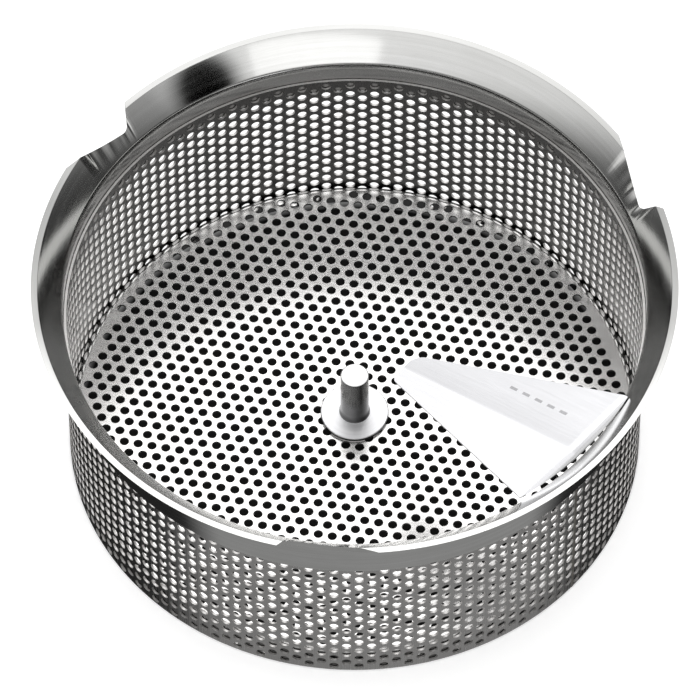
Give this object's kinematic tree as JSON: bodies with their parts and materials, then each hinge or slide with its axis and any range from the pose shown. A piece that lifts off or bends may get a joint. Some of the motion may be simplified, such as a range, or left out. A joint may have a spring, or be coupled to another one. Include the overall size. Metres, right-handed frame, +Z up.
{
  "type": "food mill sieve basket",
  "caption": "Round sieve basket of perforated stainless sheet, with a notched flange, a pivot pin and a folded baffle plate.",
  "frame": {"origin": "on the basket's axis, at the height of the wall's bottom edge", "axes": "+Z up along the pivot pin, out of the open mouth"},
  "size_m": [0.2698, 0.2694, 0.1092],
  "materials": {
    "polished_steel": "satin",
    "perforated_steel": "satin",
    "turned_steel": "satin",
    "weld_steel": "satin"
  },
  "bodies": {
    "root": {"rim_ring": "polished_steel", "side_wall": "perforated_steel", "seam_weld": "weld_steel", "collar_welds": "weld_steel", "floor_pan": "perforated_steel", "floor_welds": "weld_steel", "pivot_pin": "turned_steel", "top_washer": "turned_steel", "bottom_washer": "turned_steel", "baffle_plate": "polished_steel", "baffle_welds": "weld_steel"}
  },
  "joints": []
}
